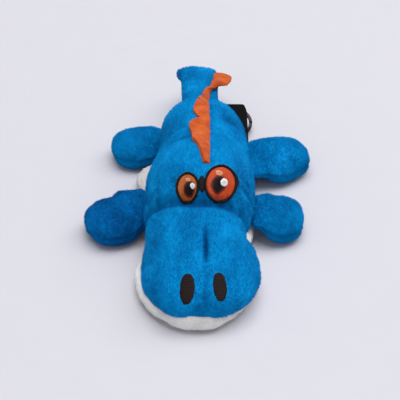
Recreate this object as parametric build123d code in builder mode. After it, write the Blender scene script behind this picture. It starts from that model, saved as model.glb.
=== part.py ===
"""Plush crocodile keychain, lying on its belly: nose towards -Y, tail towards +Y, table at Z = 0.

Every cushion is a closed cloth skin, cut into its sewn panels, around a core of stuffing.
Left and right are the animal's own, so its left is +X.
"""

import math
import os

from build123d import *

# ---- cloth and clearances (mm) ----
cloth = 1.2  # plush cloth, pile included
fill_gap = 0.15  # between cloth and stuffing
swing_gap = 0.35  # between bodies that move
stitch = 0.5  # height of the embroidery above the cloth

# ---- body and head ----
snout_length = 46.5
torso_length = 79.0
tail_length = 45.0
snout_width = 47.0
cheek_width = 41.0
head_width = 47.0
waist_width = 41.0
hip_width = 38.5
rump_width = 31.0
snout_height = 18.5
brow_height = 25.0
head_height = 38.0
back_height = 33.5
hip_height = 31.0
seam_share = 0.27  # height of the side seam between back and belly, as a share of the section
foot_flat = 0.6  # share of the half width that lies on the table

# ---- tail ----
tail_root_width = 21.0
tail_end_width = 17.0
tail_low = 11.0  # underside of the tail
tail_root_high = 24.6
tail_end_high = 20.5
tail_swing = 20.0  # degrees each way

# ---- crest ----
crest_thick = 1.6
crest_height = 9.5
crest_lean = 38.0  # degrees, towards the animal's right
crest_foot = 2.0  # depth caught in the seam

# ---- legs ----
leg_width = 26.0
leg_thick = 13.0
leg_root_width = 15.0
leg_roll = 1.2  # radius of the sewn root

# ---- eyes and nostrils ----
eye_right_size = (10.2, 14.6)
eye_left_size = (13.4, 16.8)
eye_tilt = 38.0  # degrees from lying flat
eye_rim = 0.8
eye_spread = (-5.9, 7.3)
nostril_size = (5.6, 11.4)
nostril_spread = 6.3
nostril_tilt = 24.0

# ---- strap and ring ----
strap_width = 10.0
strap_thick = 0.9
strap_x = 16.0
strap_z = 7.2
strap_reach = 20.5  # from where it bends to the middle of its eye
strap_eye = 2.4  # inner radius of the eye
strap_tail = 4.0  # sewn length
ring_inside = 14.0
ring_wire = 1.5  # width of the ring across its flat
ring_tilt = 22.0
ring_seat = 0.7  # how far the wire sits towards the far side of the strap's eye

# ---- stations that follow from the sizes above ----
total_length = snout_length + torso_length + tail_length
nose_y = -total_length / 2
brow_y = nose_y + snout_length
pivot_y = brow_y + torso_length
tip_y = pivot_y + tail_length
tail_root_r = tail_root_width / 2

BODY = (
    (nose_y, snout_width * 0.2, 2.5, snout_height * 0.5),
    (nose_y + 1.4, snout_width * 0.31, 1.0, snout_height * 0.66),
    (nose_y + 5.0, snout_width * 0.43, 0.0, snout_height * 0.83),
    (nose_y + 12.0, snout_width * 0.5, 0.0, snout_height),
    (nose_y + 20.0, snout_width * 0.495, 0.0, snout_height + 2.0),
    (nose_y + 31.0, cheek_width * 0.51, 0.0, brow_height - 2.0),
    (brow_y, cheek_width * 0.53, 0.0, brow_height + 0.6),
    (brow_y + 3.5, head_width * 0.475, 0.0, head_height - 8.6),
    (brow_y + 7.5, head_width * 0.49, 0.0, head_height - 4.4),
    (brow_y + 12.5, head_width * 0.498, 0.0, head_height - 1.4),
    (brow_y + 19.0, head_width * 0.5, 0.0, head_height),
    (brow_y + 30.0, head_width * 0.48, 0.0, head_height - 1.5),
    (brow_y + 45.0, waist_width * 0.5, 0.0, back_height),
    (pivot_y - 20.0, hip_width * 0.5, 0.0, hip_height + 0.5),
    (pivot_y - 10.0, hip_width * 0.5 - 1.2, 0.0, hip_height),
    (pivot_y - 3.5, rump_width * 0.5, 1.0, hip_height - 2.8),
    (pivot_y, rump_width * 0.43, 2.6, hip_height - 4.8),
    (pivot_y + 1.5, rump_width * 0.36, 4.5, hip_height - 6.0),
)
SNOUT = BODY[:7]
TORSO = BODY[6:]

TAIL = (
    (pivot_y, tail_root_width * 0.5, tail_low, tail_root_high),
    (pivot_y + 10.0, tail_root_width * 0.45, tail_low, tail_root_high - 1.2),
    (pivot_y + 24.0, tail_end_width * 0.5, tail_low, tail_end_high + 1.2),
    (tip_y - 9.0, tail_end_width * 0.5, tail_low, tail_end_high),
    (tip_y - 1.5, tail_end_width * 0.48, tail_low + 0.8, tail_end_high - 0.8),
    (tip_y, tail_end_width * 0.3, tail_low + 2.6, tail_end_high - 2.6),
)


def along(stations, y, column):
    """A size of a form at y, read along the straight lines between its stations."""
    for near, far in zip(stations, stations[1:]):
        if near[0] <= y <= far[0]:
            return near[column] + (far[column] - near[column]) * (y - near[0]) / (far[0] - near[0])
    raise ValueError("outside the form")


def seam_at(y):
    """Height of the body's side seam at y."""
    low, high = along(BODY, y, 2), along(BODY, y, 3)
    return low + seam_share * (high - low)


FOOT_RIGHT, RIGHT_CROWN, CROWN_LEFT, LEFT_FOOT = range(4)
ALL_ROUND = (FOOT_RIGHT, RIGHT_CROWN, CROWN_LEFT, LEFT_FOOT)
UPPER = (RIGHT_CROWN, CROWN_LEFT)
LOWER = (LEFT_FOOT, FOOT_RIGHT)


def draw(quarters, half, low, high, seam, flat):
    """Draw quarters of a cushion's section: flat foot, full sides, rounded crown. Returns both ends."""
    ends = {
        FOOT_RIGHT: ((0, low), (half, seam)),
        RIGHT_CROWN: ((half, seam), (0, high)),
        CROWN_LEFT: ((0, high), (-half, seam)),
        LEFT_FOOT: ((-half, seam), (0, low)),
    }
    for quarter in quarters:
        side = 1 if quarter in (FOOT_RIGHT, RIGHT_CROWN) else -1
        if quarter in UPPER:
            shoulder = (side * half * 0.78, seam + (high - seam) * 0.68)
            Spline((side * half, seam), shoulder, (0, high), tangents=[(0, 1), (-side, 0)])
        else:
            inner = side * half * flat
            bulge = (inner + side * half * (1 - flat) * 0.76, low + (seam - low) * 0.36)
            Spline((inner, low), bulge, (side * half, seam), tangents=[(side, 0), (0, 1)])
            if flat:
                Line((0, low), (inner, low))
    return ends[quarters[0]][0], ends[quarters[-1]][1]


def cushion(stations, grow=0.0, share=None, flat=None, place=None):
    """A closed form through its sections, all of them grown or shrunk by the same amount."""
    share = seam_share if share is None else share
    flat = foot_flat if flat is None else flat
    with BuildPart() as form:
        for y, half, low, high in stations:
            with BuildSketch(place(y) if place else Plane.XZ.offset(-y)):
                with BuildLine():
                    seam = low + share * (high - low)
                    draw(ALL_ROUND, half + grow, low - grow, high + grow, seam, flat)
                make_face()
        loft(ruled=True)
    return form.part


def panel(stations, quarters, closed=(), share=None, flat=None, place=None):
    """A sewn panel: a stretch of the skin, nearly shut at the stations named closed."""
    share = seam_share if share is None else share
    flat = foot_flat if flat is None else flat
    with BuildPart() as form:
        for i, (y, half, low, high) in enumerate(stations):
            seam = low + share * (high - low)
            if i in closed:
                inner = (half * 0.1, seam - (seam - low) * 0.1, seam + (high - seam) * 0.1)
            else:
                inner = (half - cloth, low + cloth, high - cloth)
            with BuildSketch(place(y) if place else Plane.XZ.offset(-y)):
                with BuildLine():
                    first, last = draw(quarters, half, low, high, seam, flat)
                    inner_first, inner_last = draw(quarters, *inner, seam, flat)
                    Line(first, inner_first)
                    Line(last, inner_last)
                make_face()
        loft(ruled=True)
    return form.part


# ---- the space that the tail swings in ----
with BuildPart() as socket:
    with BuildSketch(Plane.XY.offset(tail_low - swing_gap)):
        with Locations((0, pivot_y)):
            Circle(tail_root_r + swing_gap)
        for turn in (-tail_swing, -tail_swing / 2, 0, tail_swing / 2, tail_swing):
            with Locations(Location((0, pivot_y, 0), (0, 0, turn))):
                Rectangle(2 * (tail_root_r + swing_gap), 20.0, align=(Align.CENTER, Align.MIN))
    extrude(amount=tail_root_high - tail_low + 2 * swing_gap)

# ---- snout and body: sewn panels around stuffing ----
with BuildPart() as muzzle_panel:
    add(panel(SNOUT, UPPER, closed=(0,)))

with BuildPart() as jaw_panel:
    add(panel(SNOUT, LOWER, closed=(0,)))

with BuildPart() as belly_panel:
    add(panel(TORSO, LOWER, closed=(len(TORSO) - 1,)))
    add(socket.part, mode=Mode.SUBTRACT)

with BuildPart() as back_panel_left:
    add(panel(TORSO, (RIGHT_CROWN,), closed=(len(TORSO) - 1,)))
    add(socket.part, mode=Mode.SUBTRACT)

with BuildPart() as back_panel_right:
    add(panel(TORSO, (CROWN_LEFT,), closed=(len(TORSO) - 1,)))
    add(socket.part, mode=Mode.SUBTRACT)

with BuildPart() as snout_stuffing:
    add(cushion(SNOUT[1:], -cloth - fill_gap))

with BuildPart() as body_stuffing:
    add(cushion(TORSO[:-1], -cloth - fill_gap))
    add(socket.part, mode=Mode.SUBTRACT)

pieces = {
    "muzzle_panel": muzzle_panel,
    "jaw_panel": jaw_panel,
    "belly_panel": belly_panel,
    "back_panel_left": back_panel_left,
    "back_panel_right": back_panel_right,
    "snout_stuffing": snout_stuffing,
    "body_stuffing": body_stuffing,
}

# ---- embroidery: patches of a thin layer that follows the cloth ----
def thread_layer(stations):
    """The layer that the embroidery's thread fills, over a stretch of the cloth."""
    with BuildPart() as layer:
        add(cushion(stations, stitch))
        add(cushion(stations), mode=Mode.SUBTRACT)
    return layer.part


brow_layer = thread_layer(BODY[6:12])
nose_layer = thread_layer(BODY[1:6])


def patch(layer, plane, outer, holes, spot=(0.0, 0.0)):
    """One thread colour: an ellipse of the thread layer, less the ellipses of the colours inside it."""
    with BuildPart() as piece:
        with BuildSketch(plane):
            with Locations(spot):
                Ellipse(outer[0] / 2, outer[1] / 2)
            for place, size in holes:
                with Locations(place):
                    Ellipse(size[0] / 2, size[1] / 2, mode=Mode.SUBTRACT)
        extrude(amount=9, both=True)
        add(layer, mode=Mode.INTERSECT)
    return piece


def eye(side, x, size):
    """The four thread colours of an eye, one inside the other."""
    y = brow_y + 8.0
    tilt = math.radians(eye_tilt)
    plane = Plane((x, y, along(BODY, y, 3)), x_dir=(1, 0, 0), z_dir=(0, -math.sin(tilt), math.cos(tilt)))
    iris = (size[0] - 2 * eye_rim, size[1] - 2 * eye_rim)
    pupil = (size[0] * 0.48, size[1] * 0.5)
    glint = (size[0] * 0.2, size[0] * 0.2)
    low = (0.0, -size[1] * 0.05)
    spark = (size[0] * 0.12, size[1] * 0.08)
    pieces[f"eye_{side}_outline"] = patch(brow_layer, plane, size, [((0, 0), iris)])
    pieces[f"eye_{side}_iris"] = patch(brow_layer, plane, iris, [(low, pupil), (spark, glint)])
    pieces[f"eye_{side}_pupil"] = patch(brow_layer, plane, pupil, [(spark, glint)], low)
    pieces[f"eye_{side}_glint"] = patch(brow_layer, plane, glint, [], spark)


eye("right", eye_spread[0], eye_right_size)
eye("left", eye_spread[1], eye_left_size)

nostril_slope = math.radians(nostril_tilt)
for side, sign in (("right", -1), ("left", 1)):
    y = nose_y + 11.5
    at = Plane(
        (sign * nostril_spread, y, along(BODY, y, 3)),
        x_dir=(1, 0, 0),
        z_dir=(0, -math.sin(nostril_slope), math.cos(nostril_slope)),
    )
    pieces[f"nostril_{side}"] = patch(nose_layer, at, nostril_size, [])

# ---- tail ----
with BuildPart() as tail_panel_left:
    add(panel(TAIL, (FOOT_RIGHT, RIGHT_CROWN), closed=(len(TAIL) - 1,), share=0.5, flat=0.0))

with BuildPart() as tail_panel_right:
    add(panel(TAIL, (CROWN_LEFT, LEFT_FOOT), closed=(len(TAIL) - 1,), share=0.5, flat=0.0))

with BuildPart() as tail_stuffing:
    with BuildSketch(Plane.XY.offset(tail_low)):
        with Locations((0, pivot_y)):
            Circle(tail_root_r)
    extrude(amount=tail_root_high - tail_low)
    split(bisect_by=Plane.XZ.offset(-pivot_y), keep=Keep.TOP)
    add(cushion(TAIL[:-1], -cloth - fill_gap, share=0.5, flat=0.0))

pieces["tail_panel_left"] = tail_panel_left
pieces["tail_panel_right"] = tail_panel_right
pieces["tail_stuffing"] = tail_stuffing

# ---- crest: a scalloped strip caught in the middle seam ----


def scallops(stations, start, end, count):
    """Outline of a strip along a top line: a straight foot inside the form and rounded scallops above."""
    step = (end - start) / count
    foot = [(start + step * i, along(stations, start + step * i, 3) - crest_foot) for i in range(count + 1)]
    crown = []
    for i in range(count):
        for share, rise in ((0.06, 0.42), (0.3, 0.86), (0.62, 1.0), (0.9, 0.72)):
            y = start + step * (i + share)
            crown.append((y, along(stations, y, 3) + crest_height * rise))
    return foot + crown[::-1]


def strip(stations, start, end, count, lean, form):
    """The strip as a solid: leaned over about its foot, and cut back to the cloth that holds it."""
    foot_z = along(stations, (start + end) / 2, 3) - crest_foot
    with BuildPart() as piece:
        with BuildSketch(Plane.YZ):
            with BuildLine():
                Polyline(*scallops(stations, start, end, count), close=True)
            make_face()
        extrude(amount=crest_thick / 2, both=True)
    leaned = piece.part.rotate(Axis((0, 0, foot_z), (0, 1, 0)), -lean)
    with BuildPart() as trimmed:
        add(leaned)
        add(form, mode=Mode.SUBTRACT)
    return trimmed


pieces["crest_back"] = strip(BODY, brow_y + 18.0, pivot_y - 3.0, 5, crest_lean, cushion(BODY[9:]))
pieces["crest_tail"] = strip(TAIL, pivot_y + 6.0, tip_y - 4.0, 4, 0.0, cushion(TAIL, share=0.5, flat=0.0))

# ---- legs: paddles sewn into the side seam, each swinging about its sewn root ----
LEG = (
    (0.0, 0.62, 0.12),
    (0.16, 0.88, 0.6),
    (0.38, 1.0, 1.0),
    (0.66, 0.98, 1.0),
    (0.87, 0.76, 0.78),
    (1.0, 0.36, 0.34),
)  # share of the reach, then of half the width and of the thickness
legs = {
    "leg_front_right": (-1, brow_y + 23.0, 24.54, -27.0),
    "leg_front_left": (1, brow_y + 19.5, 21.0, 0.0),
    "leg_rear_right": (-1, pivot_y - 9.0, 24.0, -2.0),
    "leg_rear_left": (1, pivot_y - 23.5, 28.5, 22.0),
}

for name, (sign, y, reach, yaw) in legs.items():
    turn = math.radians(yaw)
    outward = Vector(sign * math.cos(turn), math.sin(turn), 0)
    across = Vector(outward.Y, -outward.X, 0)
    stand_off = swing_gap + leg_roll + abs(math.sin(turn)) * leg_root_width / 2
    beside = max(along(BODY, y + end * leg_root_width / 2, 1) for end in (-1, 0, 1))
    root = Vector(sign * (beside + stand_off), y, seam_at(y))

    def leg_place(out, root=root, outward=outward, across=across):
        """The section plane at a distance out from the leg's root: across, then up."""
        return Plane(Vector(root.X, root.Y, 0) + outward * out, x_dir=across, z_dir=outward.reverse())

    stations = []
    for share, wide, thick in LEG:
        half_thick = leg_thick / 2 * thick
        middle = root.Z + (leg_thick / 2 - root.Z) * min(1.0, share / 0.38)
        stations.append((share * reach, leg_width / 2 * wide, middle - half_thick, middle + half_thick))
    tip = len(stations) - 2
    with BuildPart() as top:
        add(panel(stations[1:], UPPER, closed=(tip,), share=0.5, flat=0.0, place=leg_place))
        add(cushion(stations[:2], share=0.5, flat=0.0, place=leg_place))
        with BuildSketch(Plane(root - across * leg_root_width / 2, x_dir=outward, z_dir=across)):
            Circle(leg_roll)
        extrude(amount=leg_root_width)
    with BuildPart() as under:
        add(panel(stations[1:], LOWER, closed=(tip,), share=0.5, flat=0.0, place=leg_place))
    with BuildPart() as stuffing:
        add(cushion(stations[1:-1], -cloth - fill_gap, share=0.5, flat=0.0, place=leg_place))
    pieces[f"{name}_top"] = top
    pieces[f"{name}_under"] = under
    pieces[f"{name}_stuffing"] = stuffing
    print(name, "hinge", [round(v, 4) for v in root], "axis", [round(v, 5) for v in across])

# ---- strap: flat webbing, folded into an eye around the ring ----
bend_y = pivot_y + 3.0
eye_y = bend_y + strap_reach
strap_left = strap_x - strap_width / 2
eye_outer = strap_eye + strap_thick

with BuildPart() as strap_anchor:
    with BuildSketch(Plane.XY.offset(strap_z - strap_thick)):
        with Locations((strap_x, bend_y - strap_thick - swing_gap)):
            Rectangle(strap_width, strap_tail + 6.0, align=(Align.CENTER, Align.MAX))
    extrude(amount=2 * strap_thick)
    add(cushion(BODY[12:]), mode=Mode.SUBTRACT)

taper = 11.0  # from the bar tack to where the two layers are fully apart
with BuildPart() as strap_loop:
    with BuildSketch(Plane.YZ.offset(strap_left)):
        with Locations((bend_y, strap_z)):
            Circle(strap_thick)
            Rectangle(strap_reach - taper, 2 * strap_thick, align=(Align.MIN, Align.CENTER))
        with Locations((eye_y, strap_z)):
            Circle(eye_outer)
        with BuildLine():
            Polyline(
                (eye_y - taper, strap_z - strap_thick),
                (eye_y, strap_z - eye_outer),
                (eye_y, strap_z + eye_outer),
                (eye_y - taper, strap_z + strap_thick),
                close=True,
            )
        make_face()
        with Locations((eye_y, strap_z)):
            Circle(strap_eye, mode=Mode.SUBTRACT)
        with BuildLine():
            Polyline(
                (eye_y - taper + 3.5, strap_z),
                (eye_y, strap_z - strap_eye),
                (eye_y, strap_z + strap_eye),
                close=True,
            )
        make_face(mode=Mode.SUBTRACT)
    extrude(amount=strap_width)

with BuildPart() as strap_bar_tack:
    with BuildSketch(Plane.XY.offset(strap_z + strap_thick)):
        with Locations((strap_x, bend_y + 3.6)):
            Rectangle(strap_width - 1.6, 2.4)
    extrude(amount=0.35)

pieces["strap_anchor"] = strap_anchor
pieces["strap_loop"] = strap_loop
pieces["strap_bar_tack"] = strap_bar_tack

# ---- split ring: two flat turns of wire, hanging in the strap's eye ----
ring_mid = (ring_inside + ring_wire) / 2
slope = math.radians(ring_tilt)
hang = ring_mid - ring_seat
hole = Vector(strap_x, eye_y - hang * math.cos(slope), strap_z - hang * math.sin(slope))
ring_plane = Plane(hole, x_dir=(1, 0, 0), z_dir=(0, -math.sin(slope), math.cos(slope)))
turn_thick = 0.8

with BuildPart() as key_ring:
    for side in (-1, 1):
        with BuildSketch(ring_plane.offset(side * turn_thick / 2)):
            Circle(ring_inside / 2 + ring_wire)
            Circle(ring_inside / 2, mode=Mode.SUBTRACT)
        extrude(amount=turn_thick / 2 - 0.05, both=True)
    with BuildSketch(ring_plane):
        with Locations((0, -ring_mid)):
            Rectangle(4.0, ring_wire * 0.9)
    extrude(amount=turn_thick / 2, both=True)

pieces["key_ring"] = key_ring
print("tail hinge", (0, round(pivot_y, 4)), "strap hinge", (strap_x, bend_y, strap_z))
print("ring hinge", (strap_x, round(eye_y, 4), strap_z), "ring hole", [round(v, 4) for v in hole])

os.makedirs("parts", exist_ok=True)
for name, piece in pieces.items():
    piece.part.label = name
    export_step(piece.part, f"parts/{name}.step")
    box = piece.part.bounding_box()
    print(f"{name:24s} solids {len(piece.part.solids())} volume {piece.part.volume:9.1f}", box.min, box.max)
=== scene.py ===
"""A plush crocodile keychain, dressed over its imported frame.

Each sub-assembly is a class that holds its sizes in millimetres, builds its meshes and dresses them.
Left and right are the animal's own, so its left is +X. The nose points to -Y and the table is at Z = 0.
"""

from __future__ import annotations

import logging
import math
import random
from dataclasses import dataclass, field
from enum import Enum
from typing import Callable, ClassVar

import bpy
import numpy as np
from mathutils import Matrix, Vector, noise
from mathutils.bvhtree import BVHTree

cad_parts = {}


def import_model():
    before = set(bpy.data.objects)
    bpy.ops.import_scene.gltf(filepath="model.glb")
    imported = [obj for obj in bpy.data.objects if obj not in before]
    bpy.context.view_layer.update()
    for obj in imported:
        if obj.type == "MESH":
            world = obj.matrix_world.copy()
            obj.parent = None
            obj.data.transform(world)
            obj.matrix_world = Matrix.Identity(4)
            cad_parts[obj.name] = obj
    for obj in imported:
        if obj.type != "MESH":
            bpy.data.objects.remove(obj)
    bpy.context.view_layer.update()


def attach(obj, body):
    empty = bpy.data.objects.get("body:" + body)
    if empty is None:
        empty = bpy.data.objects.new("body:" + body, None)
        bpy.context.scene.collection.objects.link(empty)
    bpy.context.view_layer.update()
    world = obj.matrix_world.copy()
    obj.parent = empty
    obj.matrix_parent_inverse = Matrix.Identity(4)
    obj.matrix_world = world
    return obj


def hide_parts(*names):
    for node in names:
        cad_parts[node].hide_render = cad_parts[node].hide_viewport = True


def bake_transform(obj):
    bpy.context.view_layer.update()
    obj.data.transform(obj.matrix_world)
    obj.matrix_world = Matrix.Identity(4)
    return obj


MM = 0.001
LOG = logging.getLogger("keychain")

Row = tuple[float, ...]
PointTest = Callable[[np.ndarray], np.ndarray]  # from points in millimetres to a value for each


class Side(Enum):
    """The animal's own sides, as the sign of X."""

    RIGHT = -1
    LEFT = 1


# --------------------------------------------------------------------------------------------
# Finishes
# --------------------------------------------------------------------------------------------


FULL = (1.0, 1.0, 1.0)
BAND = 0.314  # the wave texture's scale for one band to a unit


class Shader:
    """A material's node tree, with short calls for adding and linking nodes."""

    def __init__(self, name: str) -> None:
        """Start a material with an empty tree and a Principled surface.

        Args:
            name: the material's name.
        """
        self.material = bpy.data.materials.new(name)
        self.material.use_nodes = True
        self.tree = self.material.node_tree
        self.tree.nodes.clear()
        self.out = self.tree.nodes.new("ShaderNodeOutputMaterial")
        self.surface = self.tree.nodes.new("ShaderNodeBsdfPrincipled")
        self.tree.links.new(self.surface.outputs["BSDF"], self.out.inputs["Surface"])
        self.coords = self.tree.nodes.new("ShaderNodeTexCoord")

    def node(self, kind: str, **values: object) -> bpy.types.Node:
        """Add a node.

        Args:
            kind: the node's type name.
            values: socket defaults by name, or node properties in lower case.

        Returns:
            The new node.
        """
        made = self.tree.nodes.new(kind)
        for key, value in values.items():
            if key in made.inputs:
                made.inputs[key].default_value = value
            else:
                setattr(made, key, value)
        return made

    def link(self, source: bpy.types.NodeSocket, target: bpy.types.NodeSocket) -> None:
        """Link two sockets."""
        self.tree.links.new(source, target)

    def stretched(self, scale: Row = (1.0, 1.0, 1.0), attribute: str = "") -> bpy.types.NodeSocket:
        """Coordinates for a pattern: the object's own or a UV map, scaled along each axis.

        Args:
            scale: the scale along X, Y and Z.
            attribute: the name of a UV map, or nothing for object coordinates.

        Returns:
            The vector socket.
        """
        mapping = self.node("ShaderNodeMapping", Scale=scale)
        if attribute:
            source = self.node("ShaderNodeUVMap", uv_map=attribute).outputs["UV"]
        else:
            source = self.coords.outputs["Object"]
        self.link(source, mapping.inputs["Vector"])
        return mapping.outputs["Vector"]

    def noise(
        self, where: bpy.types.NodeSocket, scale: float, detail: float, roughness: float = 0.5
    ) -> bpy.types.NodeSocket:
        """A noise pattern.

        Args:
            where: the coordinates to read it at.
            scale: how many lumps there are to a unit.
            detail: how many finer layers it has.
            roughness: how strong the finer layers are.

        Returns:
            The value socket.
        """
        made = self.node("ShaderNodeTexNoise", Scale=scale, Detail=detail, Roughness=roughness)
        self.link(where, made.inputs["Vector"])
        return made.outputs["Fac"]

    def ramp(self, value: bpy.types.NodeSocket, stops: list[tuple[float, Row]]) -> bpy.types.NodeSocket:
        """Colours along a value.

        Args:
            value: the socket that picks the colour.
            stops: position and linear RGB of each stop.

        Returns:
            The colour socket.
        """
        made = self.node("ShaderNodeValToRGB")
        ramp = made.color_ramp
        while len(ramp.elements) < len(stops):
            ramp.elements.new(0.5)
        for element, (place, rgb) in zip(ramp.elements, stops):
            element.position = place
            element.color = (*rgb, 1.0)
        self.link(value, made.inputs["Fac"])
        return made.outputs["Color"]

    def multiply(
        self, first: bpy.types.NodeSocket, second: bpy.types.NodeSocket, share: float
    ) -> bpy.types.NodeSocket:
        """Multiply a colour by another.

        Args:
            first: the colour to change.
            second: the colour to multiply it by.
            share: how far to go, 0 to 1.

        Returns:
            The colour socket.
        """
        made = self.node("ShaderNodeMix", data_type="RGBA", blend_type="MULTIPLY")
        made.inputs["Factor"].default_value = share
        self.link(first, made.inputs["A"])
        self.link(second, made.inputs["B"])
        return made.outputs["Result"]

    def add(
        self, first: bpy.types.NodeSocket, second: bpy.types.NodeSocket, share: float
    ) -> bpy.types.NodeSocket:
        """Add a share of one value to another.

        Args:
            first: the value taken whole.
            second: the value to add.
            share: how much of it to add.

        Returns:
            The value socket.
        """
        made = self.node("ShaderNodeMath", operation="MULTIPLY_ADD")
        made.inputs[1].default_value = share
        self.link(second, made.inputs[0])
        self.link(first, made.inputs[2])
        return made.outputs[0]

    def bump(self, height: bpy.types.NodeSocket, strength: float, depth: float) -> None:
        """Drive the surface's normal from a height.

        Args:
            height: the value that gives the height.
            strength: how strongly it acts, 0 to 1.
            depth: the height of its full range in metres.
        """
        made = self.node("ShaderNodeBump", Strength=strength, Distance=depth)
        self.link(height, made.inputs["Height"])
        self.link(made.outputs["Normal"], self.surface.inputs["Normal"])

    def paint(self, colour: bpy.types.NodeSocket) -> None:
        """Give the surface its colour."""
        self.link(colour, self.surface.inputs["Base Color"])

    def set(self, **values: object) -> None:
        """Set the surface's own sockets, with underscores for spaces in their names."""
        for key, value in values.items():
            self.surface.inputs[key.replace("_", " ")].default_value = value


@dataclass(frozen=True)
class Plush:
    """Short minky pile: soft patches where it is brushed, fine nap, a pale sheen and painted shade in
    folds and shaded parts.
    """

    name: str
    deep: Row
    base: Row
    light: Row
    sheen: float = 0.35
    grain: float = 0.5
    depth: float = 0.00035
    # painted shade: the colour that the plush darkens towards where the fold attribute is full
    folded: Row = (0.12, 0.3, 0.45)

    def make(self) -> bpy.types.Material:
        """Build the material."""
        s = Shader(self.name)
        where = s.stretched((1.0, 0.55, 1.0))
        patches = s.noise(where, 95.0, 3.0, 0.55)
        colour = s.ramp(patches, [(0.34, self.deep), (0.52, self.base), (0.72, self.light)])
        nap = s.noise(where, 1500.0, 3.0, 0.65)
        tufts = s.noise(where, 520.0, 2.0, 0.5)
        grain = s.ramp(s.add(nap, tufts, 0.6), [(0.45, (0.35, 0.38, 0.42)), (0.95, FULL)])
        # Painted shade: the fold attribute darkens the colour towards folded, in creases and in the
        # shade of other parts.
        fold = s.node("ShaderNodeAttribute", attribute_name="fold")
        shade = s.ramp(fold.outputs["Fac"], [(0.0, FULL), (1.0, self.folded)])
        s.paint(s.multiply(s.multiply(colour, grain, self.grain), shade, 1.0))
        s.bump(s.add(nap, tufts, 1.2), 0.75, self.depth)
        s.set(Roughness=0.9, Sheen_Weight=self.sheen, Sheen_Roughness=0.4, Specular_IOR_Level=0.06)
        s.surface.inputs["Sheen Tint"].default_value = (*self.light, 1.0)
        return s.material


@dataclass(frozen=True)
class Thread:
    """Satin-stitched thread: glossy strands side by side, each a little lighter or darker, with painted
    shade in the gaps between them.
    """

    name: str
    dark: Row
    light: Row
    strand: float = 0.34  # mm between strands
    roughness: float = 0.45
    gloss: float = 0.45
    gap_shade: float = 0.8  # how much painted shade darkens the gaps between strands

    def make(self) -> bpy.types.Material:
        """Build the material; strands run along V of the UV map, whose unit is a millimetre."""
        s = Shader(self.name)
        where = s.stretched((1.0, 0.12, 1.0), "strands")
        tone = s.noise(where, 2.2 / self.strand, 2.0, 0.6)
        colour = s.ramp(tone, [(0.32, self.dark), (0.7, self.light)])
        scale = BAND / self.strand * 0.5
        wave = s.node("ShaderNodeTexWave", Scale=scale, Distortion=0.3, wave_type="BANDS")
        s.link(s.stretched(attribute="strands"), wave.inputs["Vector"])
        fine = s.noise(s.stretched((3.0, 0.4, 1.0), "strands"), 9.0, 2.0)
        # Painted shade in the gaps between strands: the colour darkens where the wave bands are low.
        between = s.ramp(wave.outputs["Fac"], [(0.05, (0.35, 0.3, 0.3)), (0.5, FULL)])
        s.paint(s.multiply(colour, between, self.gap_shade))
        s.bump(s.add(wave.outputs["Fac"], fine, 0.5), 0.8, 0.00014)
        s.set(Roughness=self.roughness, Specular_IOR_Level=self.gloss)
        return s.material


@dataclass(frozen=True)
class Velour:
    """Brushed felt of the crest: fine fibres, faint clouds and a little sheen."""

    name: str
    dark: Row
    base: Row
    light: Row

    def make(self) -> bpy.types.Material:
        """Build the material."""
        s = Shader(self.name)
        where = s.stretched()
        clouds = s.noise(where, 160.0, 3.0, 0.6)
        colour = s.ramp(clouds, [(0.3, self.dark), (0.5, self.base), (0.72, self.light)])
        fibre = s.noise(s.stretched((1.0, 0.4, 0.8)), 2200.0, 3.0, 0.7)
        grain = s.ramp(fibre, [(0.3, (0.6, 0.5, 0.45)), (0.65, FULL)])
        s.paint(s.multiply(colour, grain, 0.45))
        s.bump(fibre, 0.6, 0.0002)
        s.set(Roughness=0.92, Sheen_Weight=0.15, Sheen_Roughness=0.5, Specular_IOR_Level=0.08)
        s.surface.inputs["Sheen Tint"].default_value = (1.0, 0.7, 0.5, 1.0)
        return s.material


@dataclass(frozen=True)
class Webbing:
    """Plain-woven narrow tape: ribs across it and a fine warp along it, with painted shade in the
    weave's troughs.
    """

    name: str
    dark: Row
    light: Row
    rib: float = 0.55  # mm between ribs across the tape
    warp: float = 0.4  # mm between threads along it

    def make(self) -> bpy.types.Material:
        """Build the material; U runs along the tape and V across it, in millimetres."""
        s = Shader(self.name)
        bands = {"wave_type": "BANDS"}
        ribs = s.node("ShaderNodeTexWave", Scale=BAND / self.rib, Distortion=0.4, **bands)
        s.link(s.stretched(attribute="weave"), ribs.inputs["Vector"])
        bands["bands_direction"] = "Y"
        warp = s.node("ShaderNodeTexWave", Scale=BAND / self.warp, Distortion=0.3, **bands)
        s.link(s.stretched(attribute="weave"), warp.inputs["Vector"])
        height = s.add(ribs.outputs["Fac"], warp.outputs["Fac"], 0.7)
        # Painted shade and light: the colour follows the weave's height, darker in the troughs and
        # lighter on the ribs.
        s.paint(s.ramp(height, [(0.3, self.dark), (1.3, self.light)]))
        s.bump(height, 0.7, 0.00015)
        s.set(Roughness=0.8, Specular_IOR_Level=0.12)
        return s.material


@dataclass(frozen=True)
class Wire:
    """Plated spring steel with faint drawn lines."""

    name: str
    base: Row
    roughness: float

    def make(self) -> bpy.types.Material:
        """Build the material."""
        s = Shader(self.name)
        drawn = s.noise(s.stretched((1.0, 1.0, 9.0)), 900.0, 3.0, 0.6)
        low = tuple(0.8 * c for c in self.base)
        s.paint(s.ramp(drawn, [(0.3, low), (0.7, self.base)]))
        s.bump(drawn, 0.15, 0.00004)
        s.set(Metallic=1.0, Roughness=self.roughness)
        return s.material


@dataclass(frozen=True)
class Paper:
    """The plain pale table top under the object."""

    name: str
    base: Row

    def make(self) -> bpy.types.Material:
        """Build the material."""
        s = Shader(self.name)
        grain = s.noise(s.stretched(), 60.0, 4.0, 0.6)
        low = tuple(0.985 * c for c in self.base)
        s.paint(s.ramp(grain, [(0.3, low), (0.7, self.base)]))
        s.set(Roughness=0.75, Specular_IOR_Level=0.25)
        return s.material


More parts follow.
